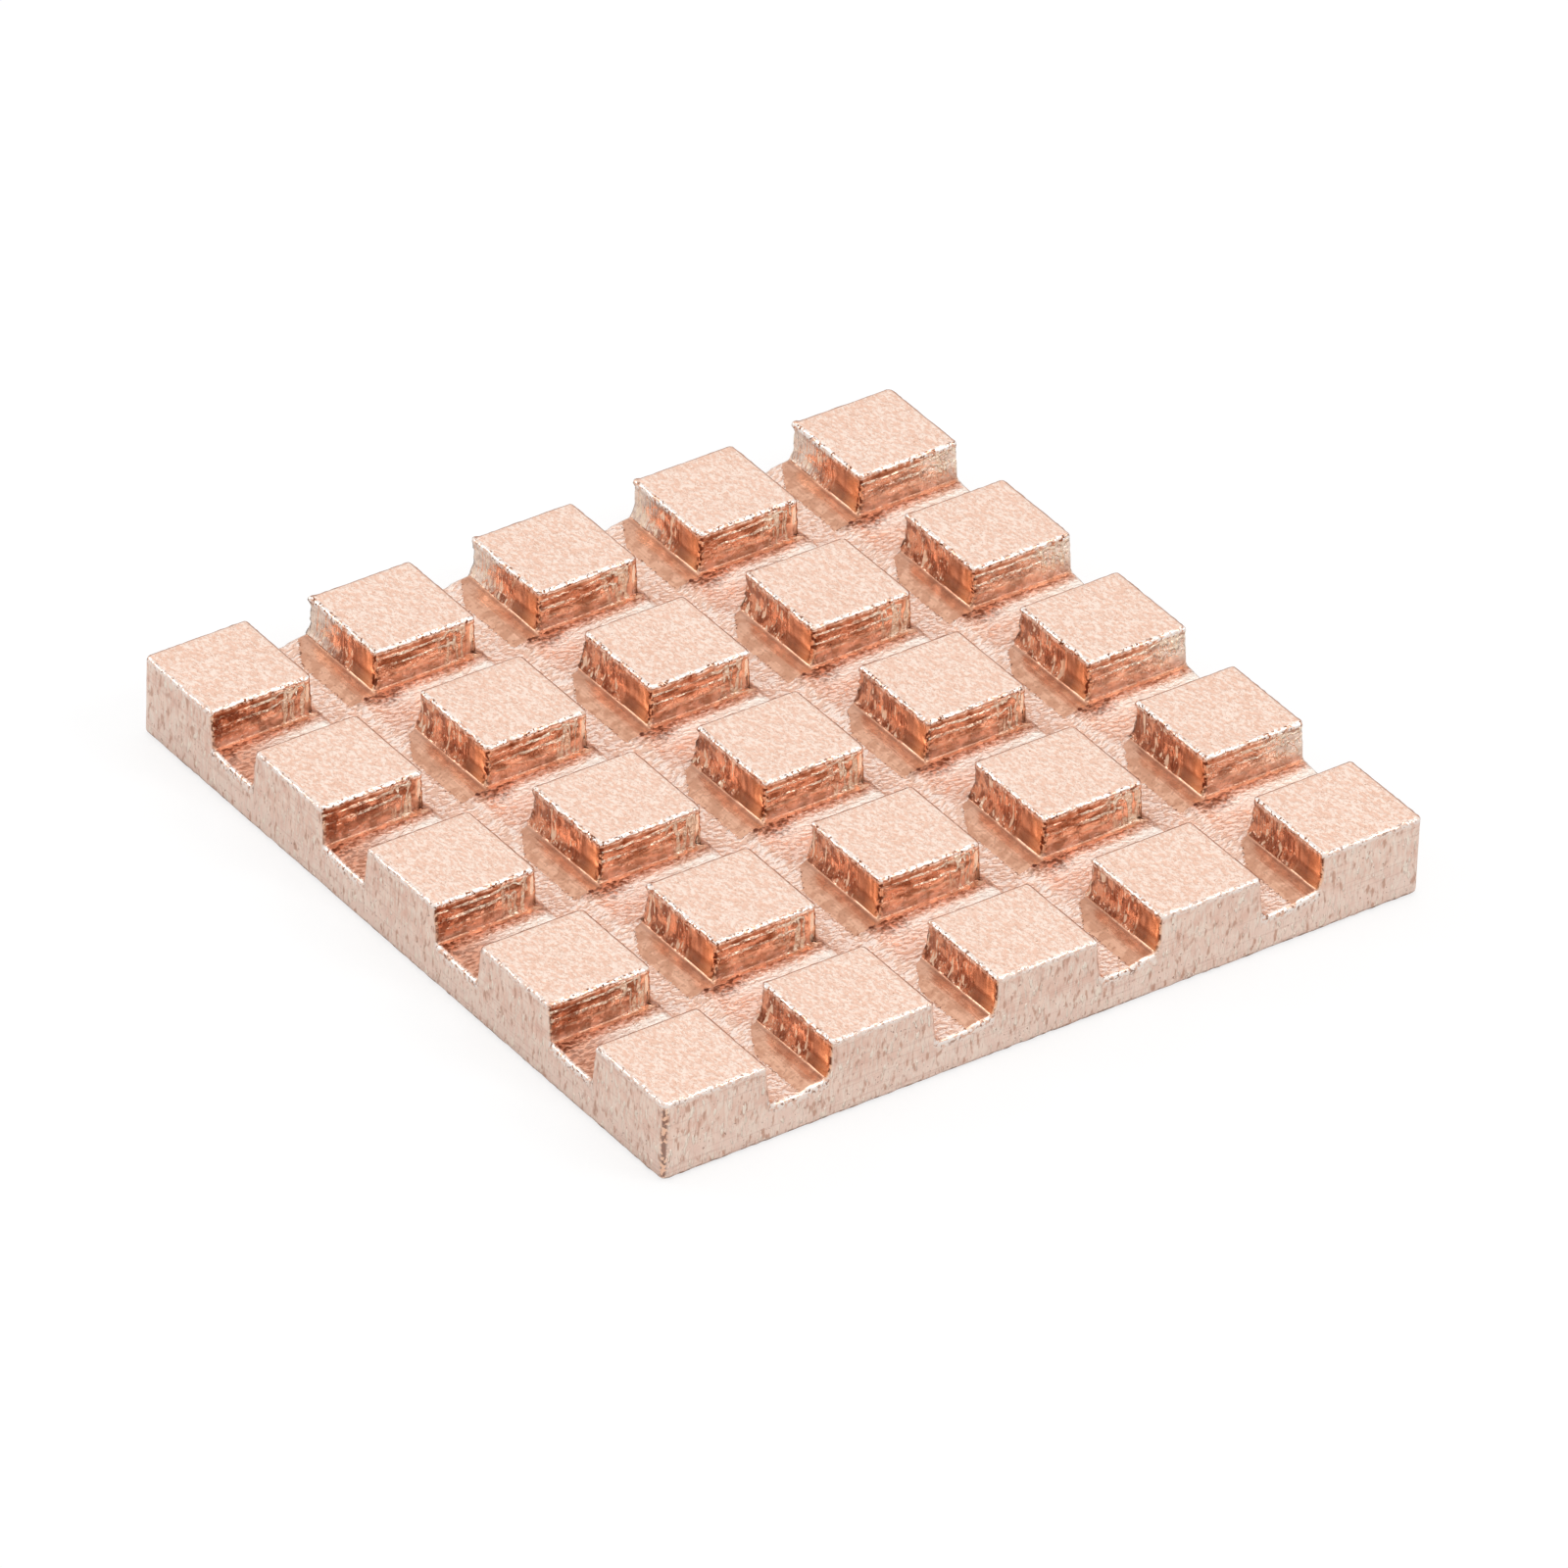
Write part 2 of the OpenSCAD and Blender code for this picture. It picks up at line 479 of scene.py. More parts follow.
# ---- Unevenness ----
def lattice(n, seed):
    """A fixed value from -1 to 1 for each whole-numbered place and seed."""
    h = (n[:, 0] * 73856093) ^ (n[:, 1] * 19349663) ^ (n[:, 2] * 83492791) ^ (seed * 2654435761)
    h = h & 0xFFFFFFFF
    for _ in range(2):
        h = ((h ^ (h >> 16)) * 0x45D9F3B) & 0xFFFFFFFF
    return ((h ^ (h >> 16)) & 0xFFFF) / 0x7FFF - 1


def noise(p, scale, seed):
    """Smooth noise from -1 to 1 at points p, with cells of the given size along each axis."""
    q = p / np.asarray(scale)
    cell = np.floor(q).astype(np.int64)
    f = q - cell
    f = f * f * (3 - 2 * f)
    total = 0
    for dx in (0, 1):
        for dy in (0, 1):
            for dz in (0, 1):
                w = (np.abs(1 - dx - f[:, 0]) * np.abs(1 - dy - f[:, 1]) * np.abs(1 - dz - f[:, 2]))
                total = total + w * lattice(cell + np.array([dx, dy, dz]), seed)
    return total


def smooth(value, start, end):
    t = np.clip((value - start) / (end - start), 0, 1)
    return t * t * (3 - 2 * t)


def pin_places(p):
    """For each point its pin, and how far it lies from that pin's front left corner."""
    found = []
    for k in (0, 1):
        index = np.clip(np.floor((p[:, k] - low[k] + SLOT_W[k] / 2) / PITCH[k]), 0, LAST)
        found += [index, p[:, k] - low[k] - index * PITCH[k]]
    return found


class Places:
    """On which surface and pin each point of the shell lies, how far along and how deep."""

    def __init__(self, shell):
        self.p = np.array(shell.points)
        self.zone, self.side = np.array(shell.zone), np.array(shell.side)
        self.burr = np.array(shell.burr)
        self.depth = TOP_Z - self.p[:, 2]
        self.i, self.u, self.j, self.v = pin_places(self.p)
        self.facing = (self.side == F) | (self.side == L)       # the sides that face the camera
        self.inner = self.zone == WALL
        self.ledge_place = ledge_place(self.u, self.depth, self.i, self.j)


LEDGE_START = 0.1           # how deep the -Y walls stay straight
RIB_PITCH = 0.105           # between the low waves where the ledges turn down


def ledge_place(u, depth, i, j):
    """How far down a ledged wall a point counts as. At the right end the ledges turn down."""
    clear = 0.1 + 0.06 * noise(np.column_stack([i, j, i + j]) * 5.3, 1, 22)
    turned = np.where(i < LAST, np.maximum(PIN_W[0] - u - clear, 0), 9)
    soft = 0.05
    blend = np.clip(0.5 + (turned - depth) / (2 * soft), 0, 1)
    return turned * (1 - blend) + depth * blend - soft * blend * (1 - blend)


def edge_move(at, beads):
    """The rolled burr round the pin tops: beaded towards the camera, faint behind."""
    wander = noise(at.p, (0.25, 0.25, 2), 16)
    lip = np.where(at.facing, 0.008 + 0.020 * beads + 0.012 * wander, 0.003 + 0.007 * beads)
    return at.burr * lip


def wall_fade(at):
    """1 on the walls' middle, 0 at their top and foot."""
    return smooth(at.depth, 0.08, 0.2) * (1 - smooth(at.depth, 0.58, 0.68))


def wall_move(at, beads):
    """Dragged lumps on the -X walls, low roughness on the -Y walls, less on the others."""
    far_half = np.where(at.side == L, 0.2 + 0.8 * smooth(at.v, 0.5, 1.1), 1)
    lumps = noise(at.p, (0.10, 0.10, 0.12), 3) + 0.6 * noise(at.p, (0.05, 0.05, 0.08), 4)
    drag = noise(at.p, (0.055, 0.055, 0.6), 5)
    rough = noise(at.p, (0.22, 0.22, 0.07), 6)
    passes = noise(at.p, (0.5, 0.5, 0.05), 12)
    to_foot = smooth(at.depth, 0.08, 0.2) * (1 - smooth(at.depth, 0.65, 0.692))
    lumpy = wall_fade(at) * far_half * (0.009 * lumps + 0.007 * drag)
    move = np.where(at.inner & (at.side == L), lumpy, 0)
    move += np.where(at.inner & (at.side == F), to_foot * (0.006 * rough + 0.005 * beads), 0)
    behind = wall_fade(at) * (0.006 * lumps + 0.005 * passes)
    return move + np.where(at.inner & ~at.facing, behind, 0)


def corner_move(at):
    """Knots down the front left corners of the pins, torn metal down the back left ones."""
    knots = noise(at.p, (1, 1, 0.07), 13) + 0.5 * noise(at.p, (0.06, 0.06, 0.05), 14)
    front = np.exp(-(at.u ** 2 + at.v ** 2) / 0.006)
    move = np.where(at.inner & at.facing, front * wall_fade(at) * 0.026 * knots, 0)
    torn = np.exp(-(at.u ** 2 + (at.v - PIN_W[1]) ** 2) / 0.008)
    tear = torn * smooth(at.depth, 0.05, 0.12) * 0.03 * knots
    move += np.where(at.inner & (at.side != F), tear, 0)
    tip = np.where((at.zone == EDGE) & (at.depth < 0.1) & (at.i > 0), torn * at.burr, 0)
    return move + tip * (0.045 + 0.03 * noise(at.p, (1.5, 1.5, 9), 15))


def face_move(at):
    """Slight waves on the outer faces, the underside's edge, the slot floors and the pin tops."""
    move = np.where(at.zone == OUTER, 0.006 * noise(at.p, (0.09, 0.09, 0.35), 7) - 0.003, 0)
    above_ground = at.p[:, 2] > 0.01
    move += np.where(at.zone == UNDER, 0.008 * noise(at.p, (0.12, 0.12, 1), 8) * above_ground, 0)
    move += np.where(at.zone == FLOOR, 0.003 * noise(at.p, (0.2, 0.2, 0.2), 9), 0)
    return move + np.where(at.zone == TOP, 0.002 * noise(at.p, (0.4, 0.4, 0.4), 10), 0)


def turn_ledges(at, moved):
    """Right ends of the -Y walls: the ledges turn down and the upright corner stands straight."""
    wall = TOES[1][0]
    ledged = at.inner & (at.side == F)
    out, out_here = (np.interp(d, wall[:, 1], wall[:, 0]) for d in (at.depth, at.ledge_place))
    plain = np.clip(0.6 + 0.7 * noise(at.p, (0.4, 9, 0.2), 17), 0.05, 1) * smooth(at.u, -0.3, 1.0)
    down = (at.ledge_place - LEDGE_START) / (CREASE_Y[1] - LEDGE_START)
    straight = CREASE_Y[0] * np.clip(down, 0, 1)
    moved[:, 1] += np.where(ledged, out - plain * out_here - (1 - plain) * straight, 0)
    waves = np.sin(2 * math.pi * at.ledge_place / RIB_PITCH)
    waves *= 0.009 * smooth(at.u, PIN_W[0] - 0.85, PIN_W[0] - 0.5)
    moved[:, 1] -= np.where(ledged & (at.i < LAST), wall_fade(at) * waves, 0)
    sway = 0.010 * noise(at.p, (0.1, 9, 0.2), 18) + 0.016 * noise(at.p, (0.5, 9, 0.4), 19)
    moved[:, 2] += np.where(ledged, wall_fade(at) * sway, 0)


def straighten_corners(at, moved):
    """The +X walls stand straight at their front corner and lean from behind it."""
    lean = HEEL[0] * np.clip(at.depth / SLOT_DEPTH[0], 0, 1) * (1 - smooth(at.v, 0.05, 0.5))
    moved[:, 0] -= np.where(at.inner & (at.i < LAST) & (at.u > PIN_W[0] - 0.03), lean, 0)


def uneven(at, normals):
    """The shell's points as sawing left them."""
    beads = noise(at.p, (0.06, 0.06, 0.4), 1) + 0.8 * noise(at.p, (0.034, 0.034, 0.3), 2)
    move = edge_move(at, beads) + wall_move(at, beads) + corner_move(at) + face_move(at)
    moved = at.p + normals * move[:, None]
    turn_ledges(at, moved)
    straighten_corners(at, moved)
    return moved


# ---- Shares for the material: which surface a point is on and how marked it is ----
def surface_shares(at):
    codes = (("tops", TOP), ("walls", WALL), ("floors", FLOOR), ("outers", OUTER))
    made = {name: (at.zone == code).astype(float) for name, code in codes}
    made["hems"] = (at.zone == UNDER) * (at.p[:, 2] > 0.002)
    # low: the outer faces' lower part, paler with a painted reflection of the floor
    made["low"] = (at.zone == OUTER) * (1 - smooth(at.p[:, 2], 0.2, 0.95))
    return made


def edge_shares(at):
    edges = (at.zone == EDGE).astype(float)
    outermost = (at.side == F) & (at.j == 0) | (at.side == L) & (at.i == 0)
    seen = np.where(outermost, 0.55, 1)
    unseen = 0.6 * smooth(at.depth, 0.015, 0.035)
    upper = at.depth < 0.1
    # lips and rims: where the rolled edges get a painted highlight
    return {"lips": edges * upper * np.where(at.facing, seen, unseen),
            "rims": edges * (at.depth > 0.1),
            # backs: a thin painted shade line along the edges that face away
            "backs": edges * ~at.facing * (1 - smooth(at.depth, 0.02, 0.04))}


def ledged_shares(at):
    """The -Y walls."""
    wall = at.inner * (at.side == F)
    short = at.i < LAST
    # A painted highlight line down the right end of each -Y wall.
    lines = wall * short * np.exp(-(PIN_W[0] - at.u - 0.09) ** 2 / 0.0013)
    lines *= smooth(at.depth, 0.09, 0.13) * (1 - smooth(at.depth, 0.4, 0.58))
    corner_share = np.where(at.side == F, smooth(at.u, PIN_W[0] - 0.2, PIN_W[0] - 0.12), 0)
    return {"ledged": wall * np.where(at.u < PIN_W[0], 1, 0),
            "along": at.u,
            "ledge_place": np.where(at.side == F, at.ledge_place, 0),
            "right_ends": at.inner * short * corner_share,
            "right_highlight_lines": lines,
            "inlets": wall * (at.i == 0) * (1 - 0.6 * smooth(at.u, 0.8, 1.8)),
            "feet": wall * smooth(at.depth, 0.5, 0.62)}


def wall_shares(at):
    """The other walls, and marks that more than one wall has."""
    mood = noise(np.column_stack([at.i, at.j, at.side]) * 7.3, (1, 1, 1), 21)
    far_part = smooth(at.v, 0.5 + 0.2 * mood, 0.75 + 0.2 * mood)
    # Painted light: walls grow paler where their slots open out of the plate.
    open_end_light = at.inner * (at.side == F) * (at.i == LAST) * (0.35 + 0.65 * smooth(at.u, 0.9, 1.9))
    open_end_light += at.inner * (at.side == L) * (at.j == LAST) * smooth(at.v, 0.9, 1.7)
    plate_corner = (at.i == 0) & (at.j == 0) & (at.zone == OUTER)
    corners = np.exp(-(at.u ** 2 + at.v ** 2) / 0.0035) * (at.depth > 0.04)
    torn = np.exp(-(at.v - PIN_W[1]) ** 2 / 0.004) * (at.depth > 0.08)
    front_end = np.where(at.side == R, 1 - smooth(at.v, 0.1, 0.15), 0)
    return {"mottled": at.inner * np.where(at.side == L, far_part, ~at.facing * 0.6),
            "far_along": np.where(at.side == L, at.v, 0),
            # under: where the painted shade below the lips lies
            "under": at.inner * (1 - smooth(at.depth, 0.1, 0.15)) * at.facing,
            # ends: the painted shade down the front ends of the +X walls
            "ends": at.inner * (at.i < LAST) * front_end,
            "open_end_light": open_end_light,
            "corners": corners * (at.inner | plate_corner),
            "torn": torn * at.inner * (at.side == L)}


def floor_shares(at):
    """Distances from the walls, in millimetres, and shares of the slot floors."""
    floor = at.zone == FLOOR
    gap_x = np.where(at.u > PIN_W[0], PITCH[0] - at.u, np.maximum(-at.u, 0))
    gap_y = np.where(at.v > PIN_W[1], PITCH[1] - at.v, np.maximum(-at.v, 0))
    to_corner = [np.where(w > PIN_W[k], PITCH[k] - w, np.abs(w)) for k, w in ((0, at.u), (1, at.v))]
    reach = np.minimum(0.58, 0.52 - 0.55 * (at.v - 1.4))
    past_end = smooth(at.v, PIN_W[1] - 0.05, PIN_W[1] + 0.05)
    return {"gap_x": gap_x,
            "gap_y": gap_y,
            "off_u": np.maximum(-at.u, at.u - PIN_W[0]),
            "nook": floor * np.hypot(*to_corner) + ~floor,
            "strip_off": gap_x - reach + past_end,
            "front_off": np.maximum(-at.v, 0),
            "tails": floor * smooth(at.v, PIN_W[1] - 0.7, PIN_W[1] - 0.2),
            "mouths": floor * (at.i == 0) * (gap_y > 0) * (1 - smooth(at.u, 0.4, 1.3))}


SHARES = (surface_shares, edge_shares, ledged_shares, wall_shares, floor_shares)


def crisp_feet(mesh, pins):
    """The -Y walls meet their slot floors in a crisp line."""
    at_foot = np.zeros(len(mesh.vertices), bool)
    for pin in pins.values():
        if not pin.outer[F]:
            at_foot[pin.foot[SPAN[F]]] = True
    ends = np.zeros(len(mesh.edges) * 2, np.int32)
    mesh.edges.foreach_get("vertices", ends)
    mesh.edges.foreach_set("use_edge_sharp", at_foot[ends.reshape(-1, 2)].all(1))


def face_outwards(mesh):
    work = bmesh.new()
    work.from_mesh(mesh)
    bmesh.ops.recalc_face_normals(work, faces=work.faces)
    work.to_mesh(mesh)
    work.free()


def build_heat_sink():
    shell = Shell()
    pins = {(i, j): Pin(shell, i, j) for i in range(PINS) for j in range(PINS)}
    rims = build_floors(shell, pins)
    build_belt(shell, pins, rims)
    mesh = bpy.data.meshes.new("heat_sink_sawn")
    mesh.from_pydata(shell.points, [], shell.faces)
    face_outwards(mesh)
    normals = np.zeros(len(shell.points) * 3, np.float32)
    mesh.vertex_normals.foreach_get("vector", normals)
    at = Places(shell)
    points = uneven(at, normals.reshape(-1, 3).astype(float))
    mesh.vertices.foreach_set("co", (points * MM).astype(np.float32).ravel())
    for shares in SHARES:
        for name, values in shares(at).items():
            given = mesh.attributes.new(name, "FLOAT", "POINT")
            given.data.foreach_set("value", values.astype(np.float32))
    mesh.polygons.foreach_set("use_smooth", np.ones(len(mesh.polygons), bool))
    crisp_feet(mesh, pins)
    mesh.update()
    piece = bpy.data.objects.new("heat_sink_sawn", mesh)
    bpy.context.scene.collection.objects.link(piece)
    return piece


# ---- Copper ----
# Linear colours. Where a name holds two, a noise runs from the first to the second.
TOP_GRAIN = (0.92, 0.63, 0.495), (1.0, 0.83, 0.725)
TOP_CURL, TOP_SPECK = (0.78, 0.49, 0.36), (0.6, 0.33, 0.22)
# Painted highlight: the lips' pale beads and calm patches stand for light caught on the rolled
# edges, and their dark dots are painted shade.
LIP_HIGHLIGHT_BEADS = (0.80, 0.48, 0.35), (1.0, 0.92, 0.86)
# The last colour on the next line is a painted shade along the back top edges.
LIP_SHADE_DOT, LIP_SOFT_HIGHLIGHT, LIP_BEHIND_SHADE = (0.26, 0.10, 0.05), (0.97, 0.76, 0.64), (0.55, 0.24, 0.13)
MOTTLE = (0.80, 0.44, 0.30), (0.32, 0.13, 0.08)
MOTTLE_PULL = (0.80, 0.46, 0.32)
CLEAN_FRONT, CLEAN_BACK, CLEAN_PULL = (1.0, 0.60, 0.37), (0.42, 0.24, 0.17), (0.78, 0.42, 0.27)
LEDGED_SMEAR = (0.98, 0.52, 0.35), (0.38, 0.15, 0.08)
# The last colour here is painted light on walls where their slots open out.
RIGHT_END, INLET, OPEN_END_LIGHT = (0.93, 0.56, 0.39), (0.26, 0.09, 0.05), (1.0, 0.80, 0.67)
# Painted shade: a dark band on the facing walls just below their rolled edges.
SHADE_BELOW_LIP = (0.42, 0.19, 0.11)
FOOT_BLOTS = (0.92, 0.64, 0.52), (0.62, 0.38, 0.27)
# The first colour here is a painted shade down the +X walls' front ends, beside the corner's
# highlight.
WALL_END_SHADE, TORN = (0.38, 0.17, 0.1), (0.1, 0.04, 0.02)
# Front left corners: dark knots mixed with a bright orange painted highlight.
CORNER_KNOTS_AND_HIGHLIGHT = (1.0, 0.60, 0.4), (0.20, 0.06, 0.03)
# Painted highlight on the walls' ledge lines, right-end lines and glints. Less metallic there so it
# shows bright.
PAINTED_HIGHLIGHT = (1.0, 0.80, 0.62)
FLOOR_SCALES = (0.88, 0.59, 0.46), (1.0, 0.83, 0.74)
# The second colour here is painted light on the open middle of the slot floors.
FLOOR_SQUIGGLE, FLOOR_PAINTED_LIGHT = (0.60, 0.31, 0.20), (1.0, 0.93, 0.86)
# Painted reflection: the strip beside each -X wall stands for that wall mirrored in the floor, with
# saw tracks in it. The fringe is its ragged dark edge.
REFLECTION_TRACKS = (0.80, 0.44, 0.29), (0.94, 0.54, 0.37)
REFLECTION_TAIL, REFLECTION_BLOT, REFLECTION_DOT = (0.70, 0.38, 0.26), (0.58, 0.26, 0.15), (0.42, 0.19, 0.11)
# The second colour here is a painted shade line in the crease at the -X walls' feet.
REFLECTION_FRINGE, CREASE_SHADE = (0.30, 0.13, 0.07), (0.50, 0.25, 0.17)
# Below the -Y walls: hazy metal darkened with painted shade and a painted reflection of the wall
# above.
HAZE_AND_SHADE_SCALES = (0.36, 0.12, 0.06), (0.78, 0.35, 0.22)
# Painted shade on the floors in the corners round each pin.
NOOK_SHADE_SCALES = (0.18, 0.05, 0.02), (0.70, 0.29, 0.17)
MOUTH_SCALES = (0.50, 0.23, 0.14), (0.86, 0.47, 0.31)
SPOT = (0.16, 0.05, 0.03)
OUTER_CLOUDS = (0.88, 0.60, 0.49), (1.0, 0.78, 0.66)
# The first colour here is a painted reflection of the floor on the outer faces' lower part.
OUTER_LOW_REFLECTION, OUTER_STROKE, OUTER_DASH = (1.0, 0.83, 0.74), (1.0, 0.88, 0.77), (1.0, 0.87, 0.75)
OUTER_SCAR, OUTER_SCRATCH, OUTER_PIT = (0.64, 0.38, 0.28), (0.72, 0.48, 0.39), (0.5, 0.32, 0.25)
PLAIN, HEM = (0.96, 0.76, 0.66), (0.46, 0.25, 0.16)

ROUGH_EDGE, ROUGH_TOP, ROUGH_WALL, ROUGH_FLOOR = 0.25, 0.5, 0.24, 0.38
ROUGH_FOOT, ROUGH_HAZE, ROUGH_STRIP, ROUGH_OUTER = 0.6, 0.5, 0.2, 0.42
METAL_STRIP, METAL_PAINTED_HIGHLIGHT = 0.8, 0.4
RELIEF = 0.006              # millimetres that a height of 1 stands out
LEDGES = ((0.165, 1.0), (0.327, 0.8), (0.49, 0.35))     # how deep, how plain to see


def node(tree, kind, **values):
    made = tree.nodes.new(kind)
    for name, value in values.items():
        setattr(made, name, value)
    return made


class Material:
    """Short ways to add nodes to one metal material."""

    def __init__(self, name):
        self.data = bpy.data.materials.new(name)
        self.data.use_nodes = True
        self.tree = self.data.node_tree
        self.shader = self.tree.nodes["Principled BSDF"]
        self.place = node(self.tree, "ShaderNodeTexCoord").outputs["Object"]

    def put(self, value, socket):
        if isinstance(value, bpy.types.NodeSocket):
            self.tree.links.new(value, socket)
        elif isinstance(value, tuple) and len(value) == 3:
            socket.default_value = (*value, 1)
        else:
            socket.default_value = value

    def zone(self, name):
        return node(self.tree, "ShaderNodeAttribute", attribute_name=name).outputs["Fac"]

    def blend(self, kind, sockets, values):
        made = node(self.tree, "ShaderNodeMix", data_type=kind)
        for value, socket in zip(values, sockets):
            self.put(value, made.inputs[socket])
        return made

    def colour(self, factor, a, b):
        return self.blend("RGBA", (0, 6, 7), (factor, a, b)).outputs[2]

    def mix(self, factor, a, b):
        return self.blend("FLOAT", (0, 2, 3), (factor, a, b)).outputs[0]

    def layers(self, colour, *over):
        """Lays each (share, colour) over the one before it."""
        for share, above in over:
            colour = self.colour(share, colour, above)
        return colour

    def math(self, operation, a, b):
        made = node(self.tree, "ShaderNodeMath", operation=operation)
        self.put(a, made.inputs[0])
        self.put(b, made.inputs[1])
        return made.outputs[0]

    def chain(self, operation, *values):
        made = values[0]
        for value in values[1:]:
            made = self.math(operation, made, value)
        return made

    def times(self, *values):
        return self.chain("MULTIPLY", *values)

    def sum(self, *values):
        return self.chain("ADD", *values)

    def most(self, *values):
        return self.chain("MAXIMUM", *values)

    def apart(self, a, b):
        return self.math("ABSOLUTE", self.math("SUBTRACT", a, b), 0)

    def band(self, value, start, end):
        """Runs from 0 at start to 1 at end."""
        made = node(self.tree, "ShaderNodeMapRange", clamp=True)
        self.put(value, made.inputs["Value"])
        made.inputs["From Min"].default_value = start
        made.inputs["From Max"].default_value = end
        return made.outputs[0]

    def speckle(self, cells, low_cut, high_cut, detail=2.0, turn=(0, 0, 0)):
        """Noise with so many cells a millimetre along each axis, cut to run from 0 to 1."""
        where = node(self.tree, "ShaderNodeMapping")
        self.put(self.place, where.inputs["Vector"])
        where.inputs["Rotation"].default_value = turn
        where.inputs["Scale"].default_value = [c / MM for c in cells]
        made = node(self.tree, "ShaderNodeTexNoise")
        self.put(where.outputs[0], made.inputs["Vector"])
        made.inputs["Scale"].default_value = 1
        made.inputs["Detail"].default_value = detail
        return self.band(made.outputs["Fac"], low_cut, high_cut)

    def veins(self, cells, width, turn=(0, 0, 0)):
        """Thin winding lines, where a noise passes its middle."""
        return self.band(self.apart(self.speckle(cells, 0, 1, 2, turn), 0.5), width, 0.008)

    def bump(self, height):
        made = node(self.tree, "ShaderNodeBump")
        made.inputs["Strength"].default_value = 1
        made.inputs["Distance"].default_value = RELIEF * MM
        self.put(height, made.inputs["Height"])
        return made.outputs[0]


def shared_patterns(m):
    """Noises that more than one surface uses."""
    return SimpleNamespace(
        grain=m.speckle((19, 11, 15), 0.4, 0.6, 3, (0, 0, 0.6)),
        specks=m.speckle((18, 18, 18), 0.73, 0.78, 1),
        dots=m.speckle((17, 17, 17), 0.6, 0.64, 1),
        beads=m.speckle((12, 12, 12), 0.4, 0.5, 1),
        ragged=m.speckle((17, 17, 17), 0.3, 0.7, 2),
        scales=m.speckle((9, 14, 9), 0.42, 0.58, 3),
        blots=m.speckle((5, 5, 4.5), 0.44, 0.56, 2),
        pulls=m.speckle((16, 16, 1.8), 0.4, 0.6, 1),
        tracks=m.speckle((24, 1.2, 24), 0.3, 0.7, 2),
        dashes=m.speckle((11, 11, 3.8), 0.62, 0.67, 2, (0.5, 0.4, 0)),
        strokes=m.speckle((17, 17, 4.5), 0.47, 0.6, 2, (0.45, 0.35, 0)))


def ledge_marks(m, pat):
    """Painted highlights along the ledges of the -Y walls, and the ledges' height."""
    wobble = m.speckle((3, 3, 14), 0.2, 0.8, 2)
    swerve = m.speckle((4.5, 4.5, 3), 0.3, 0.7, 2)
    right = m.band(m.zone("along"), PIN_W[0] - 0.9, PIN_W[0] - 0.5)
    place = m.sum(m.zone("ledge_place"),
                  m.mix(right, m.times(wobble, 0.045), m.times(swerve, 0.12)))
    lines, height = 0.0, 0.0
    for depth, plain in LEDGES:
        near = m.times(m.apart(place, depth + 0.035), m.mix(right, 1.0, 0.8))
        lines = m.most(lines, m.times(m.band(near, 0.027, 0.013), plain))
        height = m.sum(height, m.times(m.band(place, depth + 0.02, depth + 0.05), plain))
    # ribs: painted highlight streaks down the right ends, which also raise the relief
    ribs = m.times(right, m.speckle((10, 10, 2.0), 0.52, 0.57, 1),
                   m.band(place, 0.06, 0.09), m.band(place, 0.66, 0.55))
    strength = m.most(m.band(m.speckle((1.6, 1.6, 1.6), 0, 1, 0), 0.36, 0.62),
                      m.band(m.zone("along"), 0.7, 1.4))
    # the painted highlight along the ledges
    lines = m.times(m.most(m.times(lines, strength), ribs), m.zone("ledged"),
                    m.most(pat.beads, m.mix(right, 0.45, 0.8)))
    height = m.sum(m.times(height, m.sum(pat.beads, 0.4), 1.2), m.times(ribs, 1.2),
                   m.times(lines, m.speckle((11, 11, 11), 0.35, 0.65, 1), 5))
    above_foot = m.band(m.zone("ledge_place"), 0.66, 0.42)
    return lines, m.times(height, above_foot, m.zone("ledged"))


def floor_masks(m, floors, ragged):
    """The slot floors' toned parts: strips beside the -X walls that paint those walls' reflection,
    haze below the -Y walls with painted shade, painted shade in the nooks and painted light in the
    open middles.
    """
    gap_x, gap_y, off_u = (m.zone(n) for n in ("gap_x", "gap_y", "off_u"))

    def within(name, limit, fringe):
        edge = m.sum(m.zone(name), m.times(ragged, fringe))
        return m.math("LESS_THAN", edge, limit + fringe / 2)

    def frayed(value, amount, start, end):
        return m.band(m.sum(value, m.times(ragged, amount)), start, end)
    # strip: where the -X wall's reflection is painted on the floor; fringe: its ragged edge
    strip = m.times(within("strip_off", 0, 0.07), within("front_off", 0.15, 0.05), floors)
    fringe = m.times(within("strip_off", 0.08, 0.16), within("front_off", 0.2, 0.1), floors)
    along, across = m.math("SUBTRACT", gap_x, 0.27), m.math("SUBTRACT", gap_y, 0.16)
    from_spot = m.sum(m.times(along, along), m.times(across, across))
    return SimpleNamespace(
        strip=strip,
        fringe=fringe,
        # crease: a painted shade line along the -X walls' feet
        crease=m.times(m.band(gap_x, 0.17, 0.14), m.band(gap_x, 0.1, 0.12), strip),
        # haze: hazy floor below the -Y walls, with painted shade and reflection
        haze=m.times(frayed(gap_y, 0.12, 0.37, 0.21), m.band(off_u, 0.12, 0.0), floors),
        # clear: painted light on the open middle of the floors
        clear=m.times(m.band(gap_y, 0.28, 0.36), m.band(gap_y, 0.75, 0.5),
                      m.band(off_u, 0.2, 0.0), floors),
        # nook: painted shade in the floor's corners round each pin
        nook=m.times(frayed(m.zone("nook"), 0.2, 0.66, 0.42), floors),
        spot=m.times(frayed(from_spot, 0.002, 0.0035, 0.002), floors))


def top_colour(m, pat):
    curls = m.veins((13, 9, 11), 0.028, (0, 0, 0.6))
    return m.layers(m.colour(pat.grain, *TOP_GRAIN),
                    (m.times(curls, 0.8), TOP_CURL),
                    (pat.specks, TOP_SPECK))


